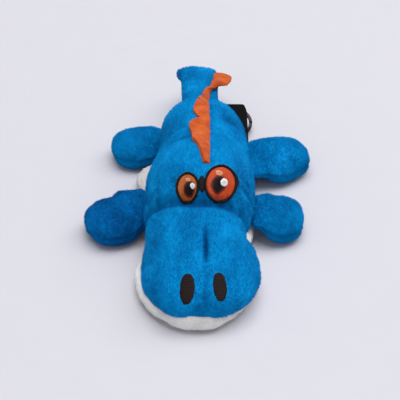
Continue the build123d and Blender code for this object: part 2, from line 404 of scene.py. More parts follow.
BLUE = Plush("blue_minky", (0.0, 0.18, 0.47), (0.0, 0.248, 0.6), (0.002, 0.33, 0.74), 0.28)
# A painted-shade copy of the blue plush, darker all over, for the front right leg in the body's shade.
SHADED_BLUE = Plush(
    "deep_blue_minky", (0.0, 0.11, 0.35), (0.0, 0.17, 0.49), (0.002, 0.25, 0.62), 0.22
)
# The white plush's folded colour is painted shade, for the belly in the shade of the legs and body.
WHITE = Plush(
    "white_minky", (0.76, 0.75, 0.73), (0.86, 0.85, 0.83), (0.93, 0.92, 0.9), 0.25, 0.22,
    folded=(0.7, 0.68, 0.66),
)
ORANGE = Velour("orange_velour", (0.38, 0.05, 0.01), (0.56, 0.09, 0.016), (0.7, 0.16, 0.035))
BLACK_THREAD = Thread(
    "black_thread", (0.002, 0.0015, 0.002), (0.009, 0.006, 0.007), roughness=0.6, gloss=0.2
)
MAROON_THREAD = Thread(
    "maroon_thread", (0.1, 0.008, 0.006), (0.26, 0.028, 0.018), roughness=0.6, gloss=0.25
)
PUPIL_THREAD = Thread(
    "pupil_thread", (0.003, 0.0015, 0.002), (0.02, 0.006, 0.006), roughness=0.6, gloss=0.2
)
NOSE_THREAD = Thread(
    "nose_thread", (0.002, 0.001, 0.0015), (0.022, 0.005, 0.006), roughness=0.6, gloss=0.2
)
TAN_THREAD = Thread("tan_thread", (0.75, 0.3, 0.14), (0.92, 0.48, 0.28), gap_shade=0.3)
RED_THREAD = Thread("red_orange_thread", (0.48, 0.03, 0.006), (0.86, 0.12, 0.016), gloss=0.3)
AMBER_THREAD = Thread("amber_thread", (0.34, 0.065, 0.01), (0.8, 0.21, 0.035), gloss=0.3)
WHITE_THREAD = Thread("white_thread", (0.85, 0.85, 0.86), (0.97, 0.97, 0.98), gap_shade=0.25)
TAPE = Webbing("black_webbing", (0.0008, 0.001, 0.0012), (0.004, 0.005, 0.006))
STEEL = Wire("ring_steel", (0.035, 0.035, 0.04), 0.38)

Finish = Plush | Thread | Velour | Webbing | Wire | Paper
MATERIALS: dict[str, bpy.types.Material] = {}


def finish_of(finish: Finish) -> bpy.types.Material:
    """The material of a finish, made once and shared."""
    if finish.name not in MATERIALS:
        MATERIALS[finish.name] = finish.make()
    return MATERIALS[finish.name]


# --------------------------------------------------------------------------------------------
# Shared shaping
# --------------------------------------------------------------------------------------------


def lone(obj: bpy.types.Object) -> bpy.types.Object:
    """Make an object the only one selected, and the active one."""
    if bpy.context.object and bpy.context.object.mode != "OBJECT":
        bpy.ops.object.mode_set(mode="OBJECT")
    bpy.ops.object.select_all(action="DESELECT")
    obj.select_set(True)
    bpy.context.view_layer.objects.active = obj
    return obj


def new_object(name: str, points: np.ndarray, faces: list[tuple[int, ...]]) -> bpy.types.Object:
    """Make a mesh object at the origin.

    Args:
        name: the object's name.
        points: its vertices in millimetres.
        faces: its faces as vertex numbers.

    Returns:
        The object, linked to the scene.
    """
    mesh = bpy.data.meshes.new(name)
    mesh.from_pydata([tuple(p) for p in np.asarray(points) * MM], [], faces)
    mesh.update()
    obj = bpy.data.objects.new(name, mesh)
    bpy.context.scene.collection.objects.link(obj)
    return lone(obj)


def points_of(obj: bpy.types.Object) -> np.ndarray:
    """An object's vertices in millimetres."""
    flat = np.empty(len(obj.data.vertices) * 3)
    obj.data.vertices.foreach_get("co", flat)
    return flat.reshape(-1, 3) / MM


def put_points(obj: bpy.types.Object, points: np.ndarray) -> None:
    """Move an object's vertices to new places in millimetres."""
    obj.data.vertices.foreach_set("co", (points * MM).ravel())
    obj.data.update()


def normals_of(obj: bpy.types.Object) -> np.ndarray:
    """An object's vertex normals."""
    flat = np.empty(len(obj.data.vertices) * 3)
    obj.data.vertex_normals.foreach_get("vector", flat)
    return flat.reshape(-1, 3)


def grid(name: str, across: int, up: int, size: float = 2.0) -> tuple[bpy.types.Object, np.ndarray]:
    """Add a flat grid at the origin.

    Args:
        name: the object's name.
        across: faces along X.
        up: faces along Y.
        size: the grid's side in metres.

    Returns:
        The object and its vertices in metres.
    """
    bpy.ops.object.select_all(action="DESELECT")
    bpy.ops.mesh.primitive_grid_add(x_subdivisions=across, y_subdivisions=up, size=size)
    obj = bpy.context.object
    obj.name = obj.data.name = name
    return obj, points_of(obj) * MM


def placed(points: np.ndarray, matrix: Matrix) -> np.ndarray:
    """Points in millimetres, moved by a matrix."""
    table = np.array(matrix)
    return points @ table[:3, :3].T + table[:3, 3]


def outward(obj: bpy.types.Object, merge: float = 0.0, fill: bool = False) -> None:
    """Turn an object's faces outwards.

    Args:
        obj: the object, changed in place.
        merge: the distance in metres within which points become one first.
        fill: whether holes are filled first.
    """
    lone(obj)
    bpy.ops.object.mode_set(mode="EDIT")
    bpy.ops.mesh.select_all(action="SELECT")
    if merge:
        bpy.ops.mesh.remove_doubles(threshold=merge)
    if fill:
        bpy.ops.mesh.fill_holes(sides=0)
    bpy.ops.mesh.normals_make_consistent(inside=False)
    bpy.ops.object.mode_set(mode="OBJECT")


def smooth(obj: bpy.types.Object, angle: float = 180.0) -> None:
    """Shade an object smooth up to an angle in degrees."""
    lone(obj)
    if angle >= 180.0:
        bpy.ops.object.shade_smooth()
    else:
        bpy.ops.object.shade_smooth_by_angle(angle=math.radians(angle))


def apply(obj: bpy.types.Object, kind: str, **values: object) -> None:
    """Add a modifier and apply it.

    Args:
        obj: the object to change.
        kind: the modifier's type.
        values: its settings by name.
    """
    lone(obj)
    modifier = obj.modifiers.new(kind.title(), kind)
    for key, value in values.items():
        setattr(modifier, key, value)
    bpy.ops.object.modifier_apply(modifier=modifier.name)


def dress(obj: bpy.types.Object, finish: Finish) -> None:
    """Give an object one finish."""
    obj.data.materials.clear()
    obj.data.materials.append(finish_of(finish))


def eased(rows: list[Row], at: np.ndarray) -> np.ndarray:
    """Read a table of stations along a smooth line through them.

    Args:
        rows: stations, each led by its place along the line.
        at: the places to read.

    Returns:
        One row of sizes for each place.
    """
    table = np.array(rows, float)
    x, y = table[:, 0], table[:, 1:]
    step = np.diff(x)[:, None]
    slope = np.diff(y, axis=0) / step
    tangent = np.zeros_like(y)
    tangent[0], tangent[-1] = slope[0], slope[-1]
    same = slope[:-1] * slope[1:] > 0
    with np.errstate(divide="ignore", invalid="ignore"):
        mean = 2 * slope[:-1] * slope[1:] / (slope[:-1] + slope[1:])
    tangent[1:-1] = np.where(same, mean, 0.0)
    i = np.clip(np.searchsorted(x, at) - 1, 0, len(x) - 2)
    h = step[i]
    t = ((at - x[i])[:, None]) / h
    a = (1 + 2 * t) * (1 - t) ** 2
    b = t * (1 - t) ** 2
    c = t * t * (3 - 2 * t)
    d = t * t * (t - 1)
    return a * y[i] + b * h * tangent[i] + c * y[i + 1] + d * h * tangent[i + 1]


def clouds(points: np.ndarray, size: float, seed: float) -> np.ndarray:
    """Smooth noise at points.

    Args:
        points: the places in millimetres.
        size: the size of its lumps in millimetres.
        seed: picks the pattern.

    Returns:
        A value between about -1 and 1 for each point.
    """
    shift = Vector((seed * 17.3, seed * 5.1, seed * 9.7))
    return np.array([noise.noise(Vector(p) / size + shift) for p in points])


def groove(distance: np.ndarray, width: float) -> np.ndarray:
    """A rounded groove's depth from 0 to 1 at a distance from its line."""
    return np.exp(-((distance / width) ** 2))


def seam_line(y: np.ndarray) -> np.ndarray:
    """Where the back seam runs across: it wanders to the left along the tail."""
    return 2.4 + 4.4 * np.clip((y - 46.0) / 32.0, 0.0, 1.0) ** 1.4


class Padding:
    """Cloth simulation that puffs a closed form between its seams."""

    scale = 12.0  # the form is simulated enlarged, because cloth settings suit furniture sizes

    def __init__(self, voxel: float, pressure: float, slack: float, cap: float, frames: int) -> None:
        """Keep the settings.

        Args:
            voxel: size of the remeshed faces in millimetres.
            pressure: the filling's push.
            slack: how much more cloth there is than the form needs, as a share.
            cap: the furthest that a point may move, in millimetres.
            frames: steps of simulation.
        """
        self.voxel, self.pressure, self.slack = voxel, pressure, slack
        self.cap, self.frames = cap, frames

    def puff(self, obj: bpy.types.Object, seam: PointTest) -> None:
        """Remesh, simulate and subdivide a form.

        Args:
            obj: the form, changed in place.
            seam: how firmly each point is held, 0 to 1.
        """
        apply(obj, "REMESH", mode="VOXEL", voxel_size=self.voxel * MM, adaptivity=0.0)
        start = points_of(obj)
        put_points(obj, start * self.scale)
        held = np.clip(seam(start), 0.0, 1.0)
        group = obj.vertex_groups.new(name="seam")
        for i, weight in enumerate(held):
            group.add([i], float(weight), "REPLACE")
        lone(obj)
        cloth = self.cloth(obj, group.name)
        scene = bpy.context.scene
        for frame in range(1, self.frames + 1):
            scene.frame_set(frame)
        bpy.ops.object.modifier_apply(modifier=cloth.name)
        scene.frame_set(1)
        moved = points_of(obj) / self.scale - start
        far = np.linalg.norm(moved, axis=1, keepdims=True)
        moved *= np.minimum(1.0, self.cap / np.maximum(far, 1e-6))
        put_points(obj, start + moved)
        obj.vertex_groups.clear()
        apply(obj, "SUBSURF", levels=1, render_levels=1)

    def cloth(self, obj: bpy.types.Object, group: str) -> bpy.types.Modifier:
        """Add the cloth simulation.

        Args:
            obj: the enlarged form.
            group: the name of the vertex group that the seams hold.

        Returns:
            The modifier.
        """
        cloth = obj.modifiers.new("Cloth", "CLOTH")
        values = {
            "quality": 5,
            "mass": 0.25,
            "tension_stiffness": 12,
            "compression_stiffness": 12,
            "shear_stiffness": 4,
            "bending_stiffness": 0.25,
            "shrink_min": -self.slack,
            "use_pressure": True,
            "uniform_pressure_force": self.pressure,
            "vertex_group_mass": group,
            "pin_stiffness": 1.0,
        }
        for key, value in values.items():
            setattr(cloth.settings, key, value)
        cloth.settings.effector_weights.gravity = 0.0
        cloth.collision_settings.use_collision = False
        cloth.point_cache.frame_start = 1
        cloth.point_cache.frame_end = self.frames
        return cloth


TUFT_WIDTH = 0.22  # mm across a tuft's foot
TUFT_ROOT = 0.08  # mm that it is sunk in the cloth


def mark_fold_shade(obj: bpy.types.Object, depth: np.ndarray) -> None:
    """Store the share of painted shade that each vertex gets, 0 to 1, deep in folds and in shaded parts,
    for the plush to darken there.
    """
    layer = obj.data.attributes.new("fold", "FLOAT", "POINT")
    layer.data.foreach_set("value", np.clip(depth, 0.0, 1.0).astype(np.float32))


def pile(
    obj: bpy.types.Object, count: int, length: float, lie: np.ndarray, bare: PointTest, seed: int
) -> None:
    """Add short lying tufts to a cushion's mesh, so that its outline and surface are fuzzy.

    Args:
        obj: the cushion, already in its final shape.
        count: how many tufts.
        length: a tuft's length in millimetres.
        lie: the direction in which the pile lies.
        bare: True where embroidery or a seam leaves no pile.
        seed: picks the tufts' places.
    """
    rng = np.random.default_rng(seed)
    mesh = obj.data
    mesh.calc_loop_triangles()
    corners = np.empty(len(mesh.loop_triangles) * 3, int)
    mesh.loop_triangles.foreach_get("vertices", corners)
    corners = corners.reshape(-1, 3)
    points, normals = points_of(obj), normals_of(obj)
    a, b, c = (points[corners[:, k]] for k in range(3))
    area = np.linalg.norm(np.cross(b - a, c - a), axis=1)
    pick = rng.choice(len(area), count, p=area / area.sum())
    u, v = rng.random(count), rng.random(count)
    flip = u + v > 1
    u[flip], v[flip] = 1 - u[flip], 1 - v[flip]
    w = 1 - u - v
    root = a[pick] * w[:, None] + b[pick] * u[:, None] + c[pick] * v[:, None]
    n = sum(normals[corners[pick, k]] * s[:, None] for k, s in enumerate((w, u, v)))
    n /= np.linalg.norm(n, axis=1, keepdims=True)
    keep = ~bare(root)
    root, n = root[keep], n[keep]
    count = len(root)
    flow = lie + rng.normal(0, 0.35, (count, 3))
    flow -= n * (flow * n).sum(1, keepdims=True)
    flow /= np.maximum(np.linalg.norm(flow, axis=1, keepdims=True), 1e-6)
    side = np.cross(n, flow)
    long = length * rng.uniform(0.7, 1.15, (count, 1))
    rise = rng.uniform(0.3, 0.75, (count, 1))
    tip = root + (flow * np.sqrt(1 - rise**2) + n * rise) * long
    wide = TUFT_WIDTH / 2 * rng.uniform(0.8, 1.3, (count, 1))
    base = root - n * TUFT_ROOT
    new = np.stack([base - side * wide, base + side * wide, tip], axis=1).reshape(-1, 3)
    first = len(mesh.vertices)
    mesh.vertices.add(len(new))
    mesh.vertices.foreach_set("co", (np.vstack([points, new]) * MM).ravel())
    loops, polys = len(mesh.loops), len(mesh.polygons)
    mesh.loops.add(3 * count)
    mesh.polygons.add(count)
    index = np.empty(loops + 3 * count, int)
    mesh.loops.foreach_get("vertex_index", index)
    index[loops:] = first + np.arange(3 * count)
    mesh.loops.foreach_set("vertex_index", index)
    starts = np.empty(polys + count, int)
    mesh.polygons.foreach_get("loop_start", starts)
    starts[polys:] = loops + 3 * np.arange(count)
    mesh.polygons.foreach_set("loop_start", starts)
    mesh.update(calc_edges=True)
    mesh.polygons.foreach_set("use_smooth", np.ones(polys + count, bool))
    mesh.validate()


# --------------------------------------------------------------------------------------------
# Body
# --------------------------------------------------------------------------------------------


@dataclass
class Form:
    """A closed form along Y through rounded sections."""

    name: str
    rows: list[Row]  # y, middle x, half width, low, high, height of the widest line
    around: int = 96
    step: float = 1.2
    crown: float = 1.0  # the sections' roundness above the widest line: 1 is an ellipse
    foot: float = 0.8  # and below it: less is squarer
    bulge: float = 0.2  # how far the ends' middles stand out

    def build(self) -> bpy.types.Object:
        """Build the form's mesh."""
        first, last = self.rows[0][0], self.rows[-1][0]
        ends = np.array([0.0, 0.12, 0.35, 0.7])
        middle = np.arange(first + 1.1, last - 1.1, self.step)
        places = np.concatenate([first + ends, middle, last - ends[::-1]])
        sizes = eased(self.rows, places)
        angle = np.linspace(0, 2 * math.pi, self.around, endpoint=False)
        across, up = np.cos(angle), np.sin(angle)
        rings = []
        for y, (mid_x, half, low, high, widest) in zip(places, sizes):
            power = np.where(up >= 0, self.crown, self.foot)
            x = mid_x + half * np.sign(across) * np.abs(across) ** power
            below = (widest - low) * np.sign(up) * np.abs(up) ** self.foot
            z = widest + np.where(up >= 0, (high - widest) * up, below)
            rings.append(np.stack([x, np.full_like(x, y), z], axis=1))
        n, m = len(rings), self.around
        faces = []
        for i in range(n - 1):
            for j in range(m):
                k = (j + 1) % m
                faces.append((i * m + j, i * m + k, (i + 1) * m + k, (i + 1) * m + j))
        caps = [[rings[0].mean(0) - (0, self.bulge, 0)], [rings[-1].mean(0) + (0, self.bulge, 0)]]
        points = np.concatenate([*rings, *caps])
        faces += [(n * m, (j + 1) % m, j) for j in range(m)]
        faces += [(n * m + 1, (n - 1) * m + j, (n - 1) * m + (j + 1) % m) for j in range(m)]
        obj = new_object(self.name, points, faces)
        outward(obj)
        smooth(obj)
        return obj


@dataclass
class Hide:
    """The blue cloth from the nose to the tail's end, with its creases, dart and back seam."""

    pivot_y: float = 40.25
    brow_y: float = -35.3
    dart: Row = (1.4, -55.5, 9.5)  # x, y and half length of the muzzle's dart
    left_folds: tuple[Row, ...] = (  # y, slant and width of the folds behind the left cheek
        (-33.5, 0.45, 1.1),
        (-29.5, 0.3, 1.0),
        (-25.0, 0.2, 1.2),
        (-20.5, 0.1, 1.3),
    )
    right_folds: tuple[Row, ...] = ((-33.0, 1.2), (-28.0, 1.1))  # y and width, on the right
    rows: list[Row] = field(
        default_factory=lambda: [
            (-82.0, -1.5, 5.5, 7.8, 11.0, 9.5),
            (-81.4, -1.5, 9.6, 6.6, 12.6, 9.5),
            (-79.5, -1.3, 13.2, 5.6, 14.4, 9.6),
            (-76.5, -0.7, 16.7, 4.6, 16.3, 9.7),
            (-72.6, -0.5, 19.7, 3.4, 17.8, 9.6),
            (-68.0, -0.6, 22.2, 2.8, 19.2, 9.5),
            (-62.0, -0.6, 23.7, 2.4, 20.7, 9.2),
            (-55.0, -0.6, 24.1, 2.4, 22.2, 9.4),
            (-49.0, -0.9, 23.3, 2.4, 23.5, 9.6),
            (-43.0, -2.0, 21.6, 2.4, 24.8, 10.0),
            (-38.6, -2.5, 20.8, 2.4, 25.8, 10.4),
            (-35.4, -2.6, 20.8, 2.4, 27.3, 10.8),
            (-32.0, -2.4, 21.4, 2.4, 30.4, 11.2),
            (-28.5, -2.0, 22.1, 2.4, 33.4, 11.4),
            (-24.5, -1.5, 22.8, 2.4, 36.2, 11.6),
            (-18.5, -1.2, 23.2, 2.4, 38.0, 11.6),
            (-10.0, -0.8, 23.1, 2.4, 37.4, 11.4),
            (0.0, -0.3, 22.2, 2.4, 35.2, 11.0),
            (9.0, 0.4, 20.9, 2.4, 33.2, 10.6),
            (18.0, 0.9, 19.9, 2.4, 32.2, 10.4),
            (26.0, 0.8, 19.4, 2.6, 31.4, 10.6),
            (33.0, 0.4, 19.0, 3.2, 30.4, 11.8),
            (38.5, 0.2, 17.8, 4.8, 28.8, 13.2),
            (43.0, 0.0, 15.2, 7.4, 26.8, 15.0),
            (47.0, -0.3, 12.0, 9.8, 24.8, 16.4),
            (51.0, -0.5, 10.2, 10.8, 23.6, 16.8),
            (57.0, -0.8, 9.1, 11.0, 22.9, 16.8),
            (66.0, -1.0, 8.5, 11.0, 22.2, 16.6),
            (75.0, -1.2, 8.5, 11.0, 21.4, 16.2),
            (80.5, -1.5, 8.8, 11.2, 20.8, 16.0),
            (83.4, -2.5, 10.3, 11.6, 20.4, 16.0),
            (84.9, -2.5, 9.9, 12.4, 19.6, 16.0),
            (85.5, -2.4, 8.2, 13.8, 18.2, 16.0),
        ]
    )

    def held(self, points: np.ndarray) -> np.ndarray:
        """How firmly the seams hold the cloth at each point."""
        x, y, z = points.T
        brow = groove(y - self.brow_line(x), 2.0)
        back = groove(x - seam_line(y), 1.6) * (z > 18) * (y > -22)
        side = groove(z - 7.5, 2.4)
        low = np.clip((7.0 - z) / 3.0, 0, 1)
        tail = np.clip((y - 52.0) / 20.0, 0, 1) * 0.4
        return np.maximum.reduce([brow, back, side, low, tail])

    def brow_line(self, x: np.ndarray) -> np.ndarray:
        """Where the muzzle meets the head, at a distance from the middle."""
        return self.brow_y + 4.0 * ((x + 1.0) / 22.0) ** 2

    def crease(self, points: np.ndarray) -> np.ndarray:
        """How far the cloth is drawn in at each point, in millimetres."""
        x, y, z = points.T
        top = z > 12
        depth = 1.6 * groove(y - self.brow_line(x), 1.4) * (z > 9)
        dart = groove(x - self.dart[0], 0.95) * (z > 17)
        dart *= np.clip(1 - ((y - self.dart[1]) / self.dart[2]) ** 2, 0, 1)
        depth += 1.9 * dart + 0.35 * groove(x - 1.2, 0.9) * (y < -56) * (z > 11)
        depth += 0.8 * groove(x - seam_line(y), 1.7) * (z > 18) * (y > -21) * (y < 84)
        waist = groove(y - 3.0 - 0.12 * (x + 8.0), 1.5) * groove(x + 8.0, 6.5) * top
        depth += 1.3 * waist
        hip = groove(np.hypot(x - 12.5, y - 24.0), 3.6) * top
        depth += 1.3 * hip
        for at, bend, width in self.left_folds:
            fold = groove(y - at - bend * (x - 18.0), width) * groove(x - 19.5, 3.6) * (z > 14)
            depth += 1.1 * fold
        for at, width in self.right_folds:
            depth += 0.45 * groove(y - at + 0.3 * (x + 19.0), width) * groove(x + 20.0, 3.4) * (z > 14)
        depth += 0.9 * groove(x - 0.4, 2.4) * (y > 83.2)
        pucker = np.sin(y * 1.9 + clouds(points, 9.0, 3.0) * 3.0)
        depth += 0.14 * pucker * groove(x - seam_line(y), 3.6) * (z > 18) * (y > -20)
        gather = np.sin(x * 1.3 + clouds(points, 8.0, 5.0) * 3.0)
        depth += 0.3 * gather * groove(y - self.brow_line(x) - 2.5, 3.0)
        return depth

    def build(self) -> bpy.types.Object:
        """Build the hide: form, puffed cloth, creases, lumps."""
        obj = Form("blue_hide", self.rows, around=112, step=1.1, crown=0.94, foot=0.8).build()
        Padding(1.6, 5.0, 0.03, 1.0, 16).puff(obj, self.held)
        points, normals = points_of(obj), normals_of(obj)
        lumps = 0.55 * clouds(points, 13.0, 1.0) + 0.22 * clouds(points, 4.5, 2.0)
        calm = np.where(points[:, 1] > 45, 0.6, 1.0)
        points += normals * (lumps * calm - self.crease(points))[:, None]
        put_points(obj, points)
        smooth(obj)
        return obj


@dataclass
class Underside:
    """The white cloth of jaw and belly, which shows as a lip round the muzzle."""

    rows: list[Row] = field(
        default_factory=lambda: [
            (-82.8, -1.4, 3.8, 3.4, 7.0, 5.0),
            (-82.3, -1.5, 6.4, 2.0, 8.2, 5.0),
            (-80.6, -1.9, 10.0, 0.8, 9.4, 5.0),
            (-76.6, -2.3, 15.2, 0.2, 10.2, 5.0),
            (-71.6, -2.5, 19.6, 0.0, 10.4, 5.0),
            (-66.0, -2.5, 22.6, 0.0, 10.4, 5.0),
            (-60.0, -2.4, 24.4, 0.0, 10.4, 5.0),
            (-53.0, -2.4, 24.9, 0.0, 10.2, 5.0),
            (-46.0, -2.3, 23.6, 0.0, 10.0, 5.0),
            (-39.0, -1.8, 21.8, 0.0, 9.8, 5.0),
            (-31.0, -1.2, 22.6, 0.0, 10.2, 5.4),
            (-20.0, -0.9, 23.4, 0.0, 10.6, 5.6),
            (-8.0, -1.4, 23.8, 0.0, 10.6, 5.4),
            (2.0, -2.7, 24.6, 0.0, 10.4, 5.2),
            (9.0, -4.1, 25.6, 0.0, 10.2, 5.0),
            (15.0, -3.8, 24.7, 0.0, 10.2, 5.0),
            (20.0, -1.6, 21.4, 0.0, 10.4, 5.4),
            (24.0, 1.0, 18.8, 0.0, 10.4, 5.6),
            (32.0, 1.0, 16.6, 0.6, 10.4, 5.8),
            (37.5, 0.8, 13.0, 2.0, 10.2, 6.4),
            (41.0, 0.4, 8.0, 4.2, 9.4, 7.0),
        ]
    )

    def held(self, points: np.ndarray) -> np.ndarray:
        """How firmly the seams hold the cloth at each point."""
        x, y, z = points.T
        return np.maximum(groove(z - 8.0, 1.8), np.clip((1.2 - z) / 1.0, 0, 1))

    def build(self) -> bpy.types.Object:
        """Build the underside: form, puffed cloth, lumps, flat where it rests."""
        obj = Form("white_underside", self.rows, around=96, step=1.3, crown=0.8, foot=0.55).build()
        Padding(1.9, 4.0, 0.03, 1.0, 14).puff(obj, self.held)
        points, normals = points_of(obj), normals_of(obj)
        points += normals * (0.35 * clouds(points, 9.0, 6.0) + 0.15 * clouds(points, 3.5, 7.0))[:, None]
        points[:, 2] = np.maximum(points[:, 2], 0.05)
        put_points(obj, points)
        smooth(obj)
        return obj


@dataclass
class Embroidery:
    """A stitched oval on a tilted plane."""

    side: Side
    x: float
    y: float
    z: float
    size: tuple[float, float]
    tilt: float  # degrees from lying flat
    turn: float = 0.0  # degrees in its own plane

    margin: ClassVar[float] = 0.0  # how far the bare cloth reaches past the stitches
    reach: ClassVar[float] = 9.0  # how far from the plane the cloth may be

    def plane(self) -> Matrix:
        """The plane that it is stitched on, with its normal as Z."""
        return (
            Matrix.Translation((self.x, self.y, self.z))
            @ Matrix.Rotation(math.radians(self.tilt), 4, "X")
            @ Matrix.Rotation(math.radians(self.turn), 4, "Z")
        )

    def covers(self, points: np.ndarray) -> np.ndarray:
        """True for points that lie under the stitches."""
        local = placed(points, self.plane().inverted())
        wide, tall = (side / 2 + self.margin for side in self.size)
        far = np.hypot(local[:, 0] / wide, local[:, 1] / tall)
        return (far < 1) & (np.abs(local[:, 2]) < self.reach)


@dataclass
class Eye(Embroidery):
    """An embroidered eye: ring outline, iris, pupil and glint, each its own thread."""

    iris: Thread = RED_THREAD
    rim: float = 1.05
    gaze: tuple[float, float] = (0.0, 0.0)  # where the pupil looks, as shares of half the eye
    corner: float = 0.0  # how far the outline's outer corner is drawn out

    margin: ClassVar[float] = 0.1
    nodes: ClassVar[tuple[str, ...]] = ("outline", "iris", "pupil", "glint")  # the frame's own

    def build(self, skin: "Skin") -> list[tuple[bpy.types.Object, str]]:
        """Build the eye's patches on the cloth.

        Args:
            skin: the cloth to stitch on.

        Returns:
            Each patch with the frame's node that it stands for.
        """
        wide, tall = self.size[0] / 2, self.size[1] / 2
        rim = self.rim
        pupil = (wide * 0.42, tall * 0.47)
        low = (wide * self.gaze[0], tall * self.gaze[1])
        glint = wide * 0.25
        halo = (pupil[0] + 0.75, pupil[1] + 0.8)
        spark = (low[0] + pupil[0] * 0.6, low[1] + pupil[1] * 0.36)
        second = (low[0] - pupil[0] * 0.35, low[1] + pupil[1] * 1.22)
        inside = (wide - rim * 0.55, tall - rim * 0.55)
        name = f"{self.side.name.lower()}_eye"
        patches = [
            Patch(f"{name}_outline", 0.74, (wide, tall), (wide - rim, tall - rim), corner=self.corner),
            Patch(f"{name}_iris", 0.34, inside),
            Patch(f"{name}_halo", 0.5, halo, middle=low),
            Patch(f"{name}_pupil", 0.66, pupil, middle=low),
            Patch(f"{name}_glint", 0.88, (glint, glint * 1.15), middle=spark),
            Patch(f"{name}_fleck", 0.56, (glint * 0.95, glint * 0.7), middle=second),
        ]
        finishes = [BLACK_THREAD, self.iris, MAROON_THREAD, PUPIL_THREAD, WHITE_THREAD, TAN_THREAD]
        made = []
        for patch, finish in zip(patches, finishes):
            obj = patch.build(skin, self.plane())
            dress(obj, finish)
            kind = patch.name.split("_")[-1]
            node = f"eye_{self.side.name.lower()}_{kind}"
            made.append((obj, node if kind in self.nodes else ""))
        return made


class Skin:
    """Finds the cloth's surface under a point."""

    def __init__(self, *objects: bpy.types.Object) -> None:
        """Keep a search tree for each object."""
        self.trees = [BVHTree.FromObject(o, bpy.context.evaluated_depsgraph_get()) for o in objects]

    def below(self, start: Vector, down: Vector) -> tuple[Vector, Vector] | None:
        """The first surface point and normal from a start along a direction, in millimetres."""
        best = None
        for tree in self.trees:
            hit, normal, _, far = tree.ray_cast(start * MM, down, 0.08)
            if hit and (best is None or far < best[2]):
                best = (hit / MM, normal, far)
        return best[:2] if best else None


@dataclass
class Patch:
    """One colour of satin stitch: a disc or ring of strands that follows the cloth."""

    name: str
    height: float  # how far its crown stands off the cloth
    outer: tuple[float, float]  # half width and half height
    inner: tuple[float, float] = (0.0, 0.0)  # the same of its hole
    middle: tuple[float, float] = (0.0, 0.0)
    corner: float = 0.0  # how far its outer corner is drawn out
    straight: bool = False  # strands side by side across the patch, instead of fanned
    square: float = 2.0  # 2 is an ellipse, more is nearer a rectangle

    strand: ClassVar[float] = 0.34  # mm between fanned strands
    row: ClassVar[float] = 0.36  # mm between straight strands
    sunk: ClassVar[float] = -0.25  # where its edges dive into the cloth
    thick: ClassVar[float] = 0.35

    def build(self, skin: Skin, plane: Matrix) -> bpy.types.Object:
        """Build the patch from a fine grid bent round its middle.

        Args:
            skin: the cloth to stitch on.
            plane: the plane that the patch is drawn on.

        Returns:
            The patch.
        """
        obj, flat = grid(self.name, max(64, int(2 * math.pi * max(self.outer) / 0.11)), 10)
        u, v = (flat[:, 0] + 1) / 2, (flat[:, 1] + 1) / 2
        strands = max(24, int(2 * math.pi * (self.outer[0] + self.outer[1]) / 2 / self.strand))
        x, y = self.outline(u, v, strands)
        lift = self.lift(u, v, y, strands)
        down = (plane.to_3x3() @ Vector((0, 0, -1))).normalized()
        points = np.empty((len(x), 3))
        for i in range(len(x)):
            start = plane @ Vector((x[i], y[i], 12.0))
            found = skin.below(start, down)
            hit, normal = found if found else (plane @ Vector((x[i], y[i], 0.0)), -down)
            points[i] = hit + normal * float(lift[i])
        uv = obj.data.uv_layers.new(name="strands")
        fanned = (u * strands * self.strand, v * float(max(self.outer)))
        along = (y, x) if self.straight else fanned
        for loop in obj.data.loops:
            i = loop.vertex_index
            uv.data[loop.index].uv = (along[0][i], along[1][i])
        put_points(obj, points)
        outward(obj, merge=0.02 * MM)
        if normals_of(obj).mean(0) @ np.array(-down) < 0:
            obj.data.flip_normals()
        apply(obj, "SOLIDIFY", thickness=self.thick * MM, offset=-1.0)
        smooth(obj)
        return obj

    def outline(self, u: np.ndarray, v: np.ndarray, strands: int) -> tuple[np.ndarray, np.ndarray]:
        """Bend the grid round the patch's middle, with a ragged edge.

        Args:
            u: the share of the way round.
            v: the share of the way out.
            strands: how many strands there are round the patch.

        Returns:
            X and Y in the patch's plane.
        """
        angle = u * 2 * math.pi
        rng = random.Random(len(self.name) * 7 + int(self.outer[0] * 100))
        ragged = [rng.uniform(-0.24, 0.24) for _ in range(strands + 1)]
        rag = np.array([ragged[int(a * strands) % strands] for a in u])
        inner, outer = np.array(self.inner), np.array(self.outer)
        radius = inner + (outer - inner) * v[:, None]
        drawn = 1 + self.corner * np.exp(-(((angle - 0.55) / 0.35) ** 2)) * v
        edge = np.clip((v - 0.75) / 0.25, 0, 1) * rag
        n = self.square
        fuller = (np.abs(np.cos(angle)) ** n + np.abs(np.sin(angle)) ** n) ** (-1 / n)
        x = (radius[:, 0] * drawn * fuller + edge) * np.cos(angle) + self.middle[0]
        y = (radius[:, 1] * drawn * fuller + edge) * np.sin(angle) + self.middle[1]
        return x, y

    def lift(self, u: np.ndarray, v: np.ndarray, y: np.ndarray, strands: int) -> np.ndarray:
        """How far the stitches stand off the cloth.

        Args:
            u: the share of the way round.
            v: the share of the way out.
            y: Y in the patch's plane.
            strands: how many strands there are round the patch.

        Returns:
            The height of each point in millimetres.
        """
        domed = 1 - (2 * v - 1) ** 2 if self.inner[0] else 1 - v**4
        crown = np.sqrt(np.clip(domed, 0, 1))
        ridge = np.abs(np.sin(math.pi * y / self.row if self.straight else math.pi * u * strands))
        lift = self.height * crown + 0.07 * ridge * crown
        lift = np.where(v > 0.985, self.sunk, lift)
        return np.where(v < 0.015, self.sunk, lift) if self.inner[0] else lift


@dataclass
class Nostril(Embroidery):
    """A satin-stitched nostril, its strands lying side to side."""

    size: tuple[float, float] = (6.0, 13.4)
    tilt: float = 22.0

    reach: ClassVar[float] = 8.0

    def build(self, skin: Skin) -> tuple[bpy.types.Object, str]:
        """Build the nostril.

        Args:
            skin: the cloth to stitch on.

        Returns:
            The patch and the frame's node that it stands for.
        """
        side = self.side.name.lower()
        half = (self.size[0] / 2, self.size[1] / 2)
        patch = Patch(f"{side}_nostril", 0.4, half, straight=True, square=2.25)
        obj = patch.build(skin, self.plane())
        dress(obj, NOSE_THREAD)
        return obj, f"nostril_{side}"


